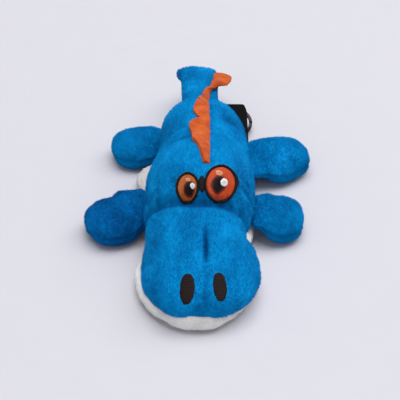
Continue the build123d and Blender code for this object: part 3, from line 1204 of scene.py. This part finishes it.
@dataclass
class Crest:
    """The orange scalloped strip along back and tail, leaning one way and then the other."""

    thick: float = 1.5
    sewn: float = 1.2  # how deep its foot sits in the seam
    fall: float = 0.55  # how round the scallops are behind their tips
    scallops: list[Row] = field(
        default_factory=lambda: [
            (-21.0, 20.0, 2.2, 7.9, 0.76, 1.1),
            (20.0, 37.0, 4.8, 6.2, 0.45, 1.1),
            (37.0, 47.0, 3.6, 4.2, 0.5, 1.1),
            (47.0, 61.0, 2.6, 3.6, 0.35, 1.1),
            (60.5, 81.0, 2.3, 8.8, 0.55, 0.55),
        ]
    )  # start, end, height at the notches and at the tip, place of the tip, slackness of the rise
    lean: list[Row] = field(
        default_factory=lambda: [
            (-22.0, -30.0),
            (-8.0, -52.0),
            (8.0, -62.0),
            (30.0, -58.0),
            (43.0, -46.0),
            (50.0, -34.0),
            (56.0, -8.0),
            (61.0, 36.0),
            (66.0, 68.0),
            (82.0, 76.0),
        ]
    )

    def height(self, y: float) -> float:
        """The strip's height at y: each scallop is a round lobe between its notches."""
        for start, end, notch, tip, peak, rise in self.scallops:
            if start <= y <= end:
                u = (y - start) / (end - start)
                t = u / peak if u < peak else (1 - u) / (1 - peak)
                lobe = math.sin(t * math.pi / 2) ** (rise if u < peak else self.fall)
                return notch + (tip - notch) * lobe
        return 0.5

    def base_line(self, skin: Skin, first: float, last: float) -> Callable[[float], Vector]:
        """Find the smoothed line where the strip is sewn in.

        Args:
            skin: the cloth under the strip.
            first: where the strip starts.
            last: where it ends.

        Returns:
            A function from y to the point on the line.
        """
        ys = np.arange(first - 4.0, last + 4.0, 0.5)
        xs = seam_line(ys)
        zs = np.empty(len(ys))
        for i, y in enumerate(ys):
            hit = skin.below(Vector((float(xs[i]), float(y), 70.0)), Vector((0, 0, -1)))
            zs[i] = hit[0].z if hit else zs[max(i - 1, 0)]
        kernel = np.hanning(13) / np.hanning(13).sum()
        even = np.convolve(np.pad(zs, 6, mode="edge"), kernel, mode="valid")
        return lambda y: Vector((float(np.interp(y, ys, xs)), y, float(np.interp(y, ys, even))))

    def build(self, skin: Skin) -> bpy.types.Object:
        """Build the strip along the cloth's back seam.

        Args:
            skin: the cloth that it is sewn into.

        Returns:
            The strip.
        """
        obj, flat = grid("crest", 320, 12)
        first, last = self.scallops[0][0], self.scallops[-1][1]
        ys = first + (last - first) * (flat[:, 0] + 1) / 2
        share = (flat[:, 1] + 1) / 2
        turns = eased(self.lean, ys)[:, 0]
        foot = self.base_line(skin, first, last)
        points = np.empty((len(ys), 3))
        for i, y in enumerate(ys):
            angle = math.radians(float(turns[i]))
            tall = self.height(float(y)) + self.sewn
            rise = share[i] * tall - self.sewn
            curl = 1.0 + 0.25 * share[i]
            wave = 0.35 * math.sin(float(y) * 0.42) * share[i]
            points[i] = foot(float(y)) + Vector(
                (math.sin(angle * curl) * rise + wave, 0.12 * rise, math.cos(angle * curl) * rise)
            )
        put_points(obj, points)
        apply(obj, "SOLIDIFY", thickness=self.thick * MM, offset=0.0)
        sharp = math.radians(50)
        apply(obj, "BEVEL", width=0.32 * MM, segments=2, limit_method="ANGLE", angle_limit=sharp)
        points, normals = points_of(obj), normals_of(obj)
        points += normals * (0.1 * clouds(points, 2.2, 11.0))[:, None]
        put_points(obj, points)
        smooth(obj, 60.0)
        dress(obj, ORANGE)
        return obj


@dataclass
class Leg:
    """A paddle-shaped leg of two panels, sewn into the side seam at its narrow root."""

    name: str
    root: tuple[float, float, float]
    yaw: float  # degrees, outward direction from the side's own X
    side: Side
    reach: float
    seed: float
    finish: Plush = BLUE
    wide: float = 25.6
    thick: float = 12.6
    inset: float = -0.22  # how far the root runs into the body, as a share of the reach
    shape: tuple[Row, ...] = (
        (0.0, 0.98, 0.54),
        (0.14, 1.04, 0.8),
        (0.34, 1.05, 0.97),
        (0.56, 0.99, 1.0),
        (0.76, 0.86, 0.9),
        (0.9, 0.68, 0.68),
        (0.975, 0.38, 0.4),
        (1.0, 0.15, 0.2),
    )

    def frame(self) -> Matrix:
        """The leg's own frame: Y outwards, X across, Z up."""
        turn = math.radians(self.yaw)
        sign = self.side.value
        out = Vector((sign * math.cos(turn), math.sin(turn), 0))
        across = Vector((out.y, -out.x, 0))
        basis = Matrix((across, out, (0, 0, 1))).transposed().to_4x4()
        return Matrix.Translation((self.root[0], self.root[1], 0)) @ basis

    def build(self) -> bpy.types.Object:
        """Build the leg: form, puffed cloth between its edge seams, crumpled root."""
        rows = []
        for share, wide, thick in ((self.inset, 0.84, 0.28), *self.shape):
            out = share * self.reach
            middle = self.root[2] + (self.thick / 2 - self.root[2]) * min(1.0, max(0.0, share) / 0.38)
            half = self.thick / 2 * thick
            rows.append((out, 0.0, self.wide / 2 * wide, middle - half, middle + half, middle))
        obj = Form(self.name, rows, around=72, step=0.9, crown=0.86, foot=0.86).build()

        def held(points: np.ndarray) -> np.ndarray:
            """The edge seam and the sewn root hold the cloth."""
            x, y, z = points.T
            sizes = eased(rows, np.clip(y, rows[0][0], rows[-1][0]))
            edge = groove((np.abs(x) - sizes[:, 1]), 1.3) * groove(z - sizes[:, 4], 1.6)
            return np.maximum(edge, np.clip((2.5 - y) / 2.5, 0, 1))

        Padding(1.5, 5.0, 0.05, 1.5, 16).puff(obj, held)
        points, normals = points_of(obj), normals_of(obj)
        x, y, z = points.T
        lumps = 0.4 * clouds(points + self.seed * 31, 8.0, self.seed)
        lumps = lumps + 0.18 * clouds(points, 3.2, self.seed + 2)
        sizes = eased(rows, np.clip(y, rows[0][0], rows[-1][0]))
        edge = groove(z - sizes[:, 4], 0.8) * np.clip((np.abs(x) - sizes[:, 1] + 2.5) / 2.5, 0, 1)
        tuck = groove(y - 1.0, 3.4) * (0.5 + 0.5 * np.sin(x * 1.7 + self.seed * 4))
        points += normals * (lumps - 0.75 * edge - 0.55 * tuck)[:, None]
        points = placed(points, self.frame())
        points[:, 2] = np.maximum(points[:, 2], 0.06)
        put_points(obj, points)
        outward(obj)
        smooth(obj)
        return obj


# --------------------------------------------------------------------------------------------
# Strap and ring
# --------------------------------------------------------------------------------------------


@dataclass
class Strap:
    """Black webbing sewn into the side seam, folded into an eye for the ring."""

    x: float = 16.6
    z: float = 7.2
    wide: float = 10.6
    thick: float = 0.9
    root_y: float = 33.0
    bend_y: float = 43.25
    eye_y: float = 63.75
    eye: float = 2.4  # inner radius of the eye
    corner: float = 2.6  # how far the fold's outer corner is rounded off
    stitches: int = 26

    def path(self) -> list[tuple[float, float]]:
        """The middle line of the webbing, from the seam, round the eye and back, as Y and Z."""
        half = self.thick / 2
        radius = self.eye + half
        apart = self.eye_y - 11.0
        lean = math.radians(168 - 90)
        low = [(self.root_y, self.z - half), (self.bend_y, self.z - half), (apart, self.z - half - 0.05)]
        low += [(apart + 4.0, self.z - half - 0.45), (apart + 7.5, self.z - half - 1.3)]
        arc = []
        for i in range(15):
            a = -lean - math.radians(8) + (2 * lean + math.radians(16)) * i / 14
            arc.append((self.eye_y + radius * math.cos(a), self.z + radius * math.sin(a)))
        high = [(y, 2 * self.z - z) for y, z in reversed(low)]
        return low + arc + high

    def build(self) -> bpy.types.Object:
        """Build the webbing by extruding a narrow strip along its path."""
        line = self.path()
        steps: list[tuple[float, float]] = []
        for (y0, z0), (y1, z1) in zip(line, line[1:]):
            n = max(1, int(math.hypot(y1 - y0, z1 - z0) / 0.5))
            steps += [(y0 + (y1 - y0) * k / n, z0 + (z1 - z0) * k / n) for k in range(n)]
        steps.append(line[-1])
        obj, flat = grid("webbing", len(steps) - 1, 20)
        place = np.rint((flat[:, 0] + 1) / 2 * (len(steps) - 1)).astype(int)
        side = flat[:, 1]
        run = np.concatenate([[0], np.cumsum([math.dist(a, b) for a, b in zip(steps, steps[1:])])])
        path = np.array(steps)
        points = np.empty((len(flat), 3))
        points[:, 0] = self.x + side * self.wide / 2
        points[:, 1:] = path[place]
        out = np.clip((path[place, 0] - self.bend_y) / 20.0, 0, 1)
        points[:, 1] -= 0.08 * side * out
        tip = np.clip((path[place, 0] - self.eye_y + 5.0) / 7.6, 0, 1)
        points[:, 0] -= self.corner * tip**2.2 * np.clip(side, 0, 1)
        uv = obj.data.uv_layers.new(name="weave")
        for loop in obj.data.loops:
            i = loop.vertex_index
            uv.data[loop.index].uv = (run[place[i]], side[i] * self.wide / 2)
        put_points(obj, points)
        apply(obj, "SOLIDIFY", thickness=self.thick * 0.92 * MM, offset=0.0)
        sharp = math.radians(60)
        apply(obj, "BEVEL", width=0.2 * MM, segments=2, limit_method="ANGLE", angle_limit=sharp)
        smooth(obj, 50.0)
        dress(obj, TAPE)
        return obj

    def tack(self) -> bpy.types.Object:
        """Build the bar tack: close zigzag stitches across the webbing."""
        bpy.ops.object.select_all(action="DESELECT")
        bpy.ops.mesh.primitive_cube_add(size=1.0)
        stitch = bpy.context.object
        stitch.scale = (0.26 * MM, 2.3 * MM, 0.3 * MM)
        bpy.ops.object.transform_apply(location=False, rotation=False, scale=True)
        pieces = [stitch]
        for _ in range(self.stitches - 1):
            copy = stitch.copy()
            copy.data = stitch.data.copy()
            bpy.context.scene.collection.objects.link(copy)
            pieces.append(copy)
        left, width = self.x - self.wide / 2 + 0.9, self.wide - 1.8
        height = self.z + self.thick + 0.1
        for i, obj in enumerate(pieces):
            x = left + width * i / (self.stitches - 1)
            obj.location = (x * MM, (self.bend_y + 3.6) * MM, height * MM)
            obj.rotation_euler = (0, 0, math.radians(9 if i % 2 else -9))
        bpy.ops.object.select_all(action="DESELECT")
        for obj in pieces:
            obj.select_set(True)
        bpy.context.view_layer.objects.active = stitch
        bpy.ops.object.transform_apply(location=True, rotation=True, scale=False)
        bpy.ops.object.join()
        obj = bpy.context.object
        obj.name = obj.data.name = "bar_tack"
        apply(obj, "BEVEL", width=0.09 * MM, segments=2, limit_method="NONE")
        obj.data.uv_layers.new(name="strands")
        smooth(obj, 60.0)
        dress(obj, BLACK_THREAD)
        return obj


@dataclass
class SplitRing:
    """Two flat turns of spring wire, hanging in the strap's eye."""

    x: float = 16.0
    hinge_y: float = 63.75
    hinge_z: float = 7.2
    inside: float = 14.0
    wire: float = 1.5
    turns: float = 1.96
    turn_thick: float = 0.76
    tilt: float = 22.0
    seat: float = 0.7  # how far the wire sits towards the far side of the webbing's eye

    def build(self) -> bpy.types.Object:
        """Build the ring by turning a rounded flat section twice round its axis."""
        bpy.ops.object.select_all(action="DESELECT")
        bpy.ops.mesh.primitive_circle_add(vertices=16, radius=1.0, fill_type="NOTHING")
        obj = bpy.context.object
        obj.name = obj.data.name = "split_ring"
        flat = points_of(obj) * MM
        section = np.zeros_like(flat)
        full = np.sign(flat) * np.abs(flat) ** 0.6
        section[:, 0] = (self.inside + self.wire) / 2 + full[:, 0] * self.wire / 2
        section[:, 2] = full[:, 1] * self.turn_thick / 2 - self.turn_thick * 0.5
        put_points(obj, section)
        apply(
            obj,
            "SCREW",
            angle=2 * math.pi * self.turns,
            screw_offset=self.turn_thick * self.turns * MM,
            steps=150,
            render_steps=150,
            axis="Z",
            use_merge_vertices=False,
        )
        outward(obj, fill=True)
        self.flatten(obj)
        middle = (self.inside + self.wire) / 2 - self.seat
        slope = math.radians(self.tilt)
        y, z = self.hinge_y - middle * math.cos(slope), self.hinge_z - middle * math.sin(slope)
        place = (
            Matrix.Translation((self.x, y, z))
            @ Matrix.Rotation(slope, 4, "X")
            @ Matrix.Rotation(math.radians(205), 4, "Z")
        )
        put_points(obj, placed(points_of(obj), place))
        smooth(obj, 50.0)
        dress(obj, STEEL)
        return obj

    def flatten(self, obj: bpy.types.Object) -> None:
        """Turn the even coil into two flat turns with one short step between them."""
        points = points_of(obj)
        turn = (np.arctan2(points[:, 1], points[:, 0]) / (2 * math.pi)) % 1.0
        middle = points[:, 2] + self.turn_thick * 0.5
        whole = np.rint(middle / self.turn_thick - turn)
        done = np.clip(turn + whole, 0.0, self.turns)
        step = np.clip((done - 0.84) / 0.3, 0.0, 1.0)
        step = step * step * (3 - 2 * step)
        points[:, 2] += self.turn_thick * 1.02 * (step - done)
        put_points(obj, points)


# --------------------------------------------------------------------------------------------
# Table, light and camera
# --------------------------------------------------------------------------------------------


@dataclass
class Studio:
    """A pale seamless table, soft light from above and behind, and the camera."""

    camera_mm: tuple[float, float, float] = (-0.87, -388.95, 305.5)
    pitch: float = 52.0
    lens: float = 99.4
    table_side: float = 16.0  # m
    rise_y: float = 4500.0  # where the table starts to curve up
    rise: float = 3000.0
    paper: Paper = Paper("pale_paper", (0.61, 0.605, 0.65))
    ambient: float = 0.42
    lamps: tuple[tuple[str, Row, Row, float, float, Row], ...] = (
        # name, place and target in metres, side in metres, watts, colour
        ("overhead", (0.24, 0.24, 2.85), (0.0, -0.03, 0.0), 2.4, 70.2, (1.0, 1.0, 1.0)),
        ("window", (2.1, 1.05, 2.25), (0.0, 0.0, 0.0), 1.8, 27.0, (0.97, 0.98, 1.0)),
        ("front_fill", (-0.9, -2.7, 2.1), (0.0, 0.0, 0.0), 2.4, 10.8, (1.0, 0.99, 0.98)),
    )

    def build(self) -> None:
        """Build table, lights and camera."""
        table, _ = grid("table", 60, 60, self.table_side)
        points = points_of(table)
        back = np.maximum(points[:, 1] - self.rise_y, 0.0)
        points[:, 2] = back**2 / self.rise
        put_points(table, points)
        smooth(table)
        dress(table, self.paper)
        camera = bpy.data.objects.new("camera", bpy.data.cameras.new("camera"))
        bpy.context.scene.collection.objects.link(camera)
        camera.location = Vector(self.camera_mm) * MM
        camera.rotation_euler = (math.radians(self.pitch), 0.0, 0.0)
        camera.data.lens = self.lens
        camera.data.sensor_width = 36.0
        camera.data.clip_start = 0.01
        bpy.context.scene.camera = camera
        for lamp in self.lamps:
            self.light(*lamp)
        world = bpy.data.worlds.new("room")
        bpy.context.scene.world = world
        world.use_nodes = True
        sky = world.node_tree.nodes["Background"]
        sky.inputs["Color"].default_value = (0.9, 0.9, 0.95, 1.0)
        sky.inputs["Strength"].default_value = self.ambient
        bpy.context.scene.view_settings.view_transform = "Standard"

    def light(self, name: str, at: Row, to: Row, size: float, power: float, colour: Row) -> None:
        """Add a square soft light.

        Args:
            name: the light's name.
            at: where it stands, in metres.
            to: the point that it looks at.
            size: its side in metres.
            power: its power in watts.
            colour: its colour.
        """
        data = bpy.data.lights.new(name, "AREA")
        data.size = size
        data.energy = power
        data.color = colour
        lamp = bpy.data.objects.new(name, data)
        bpy.context.scene.collection.objects.link(lamp)
        lamp.location = at
        lamp.rotation_euler = (Vector(to) - Vector(at)).to_track_quat("-Z", "Y").to_euler()


class Crocodile:
    """The whole keychain: builds each sub-assembly and dresses it, and ties the stitches, underside, bar
    tack and ring to the frame's bodies.
    """

    def __init__(self) -> None:
        """Set out the sub-assemblies."""
        self.hide = Hide()
        self.underside = Underside()
        self.eyes = [
            Eye(Side.RIGHT, -6.0, -30.5, 32.0, (9.7, 12.8), 38.0, -3.0, AMBER_THREAD, gaze=(0.16, -0.1)),
            Eye(
                Side.LEFT, 7.6, -28.8, 33.2, (13.6, 16.4), 38.0, -15.0, RED_THREAD,
                gaze=(-0.1, -0.12), corner=0.1,
            ),
        ]
        self.nostrils = [
            Nostril(Side.RIGHT, -5.8, -75.0, 16.6, turn=-3.0),
            Nostril(Side.LEFT, 6.8, -74.1, 16.9, (5.5, 12.8), turn=4.0),
        ]
        right, left = Side.RIGHT, Side.LEFT
        self.legs = [
            # The front right leg wears the painted-shade copy of the blue plush.
            Leg(
                "leg_front_right", (-28.4, -15.75, 10.1), -27.0, right, 22.8, 1.0, SHADED_BLUE, inset=-0.34
            ),
            Leg("leg_front_left", (25.0, -19.25, 10.2), 0.0, left, 18.4, 2.0, wide=24.4),
            Leg("leg_rear_right", (-20.6, 35.0, 8.4), -6.0, right, 21.2, 3.0, wide=24.0),
            Leg("leg_rear_left", (24.6, 20.4, 8.6), 22.0, left, 25.2, 4.0, wide=27.0, inset=-0.28),
        ]
        self.strap = Strap()
        self.ring = SplitRing()
        self.crest = Crest()

    def bare(self, points: np.ndarray) -> np.ndarray:
        """True where embroidery leaves no pile."""
        flags = np.zeros(len(points), bool)
        for part in (*self.eyes, *self.nostrils):
            flags |= part.covers(points)
        return flags

    def bridge(self, skin: Skin) -> bpy.types.Object:
        """Build the black stitches that join the two outlines over the nose.

        Args:
            skin: the cloth to stitch on.

        Returns:
            The patch.
        """
        plane = Matrix.Translation((-0.1, -29.4, 32.9)) @ Matrix.Rotation(math.radians(38), 4, "X")
        obj = Patch("eye_bridge", 0.5, (1.5, 3.7), straight=True).build(skin, plane)
        dress(obj, BLACK_THREAD)
        return obj

    def build(self) -> None:
        """Build and dress every piece, and tie the stitches, underside, bar tack and ring to the frame's
        bodies.
        """
        hide = self.hide.build()
        under = self.underside.build()
        skin = Skin(hide)
        for eye in self.eyes:
            for obj, node in eye.build(skin):
                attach(obj, "torso")
                if node:
                    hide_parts(node)
                LOG.info("stitched %s", obj.name)
        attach(self.bridge(skin), "torso")
        for nostril in self.nostrils:
            obj, node = nostril.build(skin)
            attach(obj, "torso")
            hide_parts(node)
            LOG.info("stitched %s", obj.name)
        crest = self.crest.build(skin)
        backwards = np.array([0.0, 1.0, -0.2])
        pile(hide, 90000, 1.0, backwards, self.bare, 5)
        # Painted shade in the hide's creases, seams and folds, as deep as they are drawn in.
        mark_fold_shade(hide, self.hide.crease(points_of(hide)) / 1.8)
        dress(hide, BLUE)
        pile(under, 26000, 0.9, backwards, lambda p: p[:, 2] < 0.4, 6)
        # Painted shade: the belly behind y = -30 darkens, as if in the shade of the legs and body.
        mark_fold_shade(under, 0.7 * (points_of(under)[:, 1] > -30))
        dress(under, WHITE)
        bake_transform(hide)
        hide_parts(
            "muzzle_panel", "back_panel_left", "back_panel_right", "snout_stuffing",
            "body_stuffing", "tail_panel_left", "tail_panel_right", "tail_stuffing",
        )
        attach(under, "torso")
        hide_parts("jaw_panel", "belly_panel")
        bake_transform(crest)
        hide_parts("crest_back", "crest_tail")
        LOG.info("body and crest done")
        for leg in self.legs:
            self.add_leg(leg)
        strap = self.strap.build()
        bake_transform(strap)
        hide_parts("strap_anchor", "strap_loop")
        tack = self.strap.tack()
        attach(tack, "strap")
        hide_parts("strap_bar_tack")
        ring = self.ring.build()
        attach(ring, "ring")
        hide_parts("key_ring")
        LOG.info("strap and ring done")

    def add_leg(self, leg: Leg) -> None:
        """Build one leg, add its pile, dress it and hide the frame's own leg parts."""
        obj = leg.build()
        out = leg.frame().to_3x3() @ Vector((0, 1, 0))
        lie = np.array(out) + np.array([0.0, 0.3, -0.2])
        pile(obj, 22000, 0.95, lie, lambda p: p[:, 2] < 0.3, int(leg.seed) + 20)
        dress(obj, leg.finish)
        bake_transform(obj)
        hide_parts(f"{leg.name}_top", f"{leg.name}_under", f"{leg.name}_stuffing")
        LOG.info("sewn on %s", leg.name)


def main() -> None:
    """Load the frame, then build the studio and the keychain."""
    logging.basicConfig(level=logging.INFO, format="%(name)s: %(message)s")
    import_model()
    Studio().build()
    Crocodile().build()


if __name__ == "__main__":
    main()
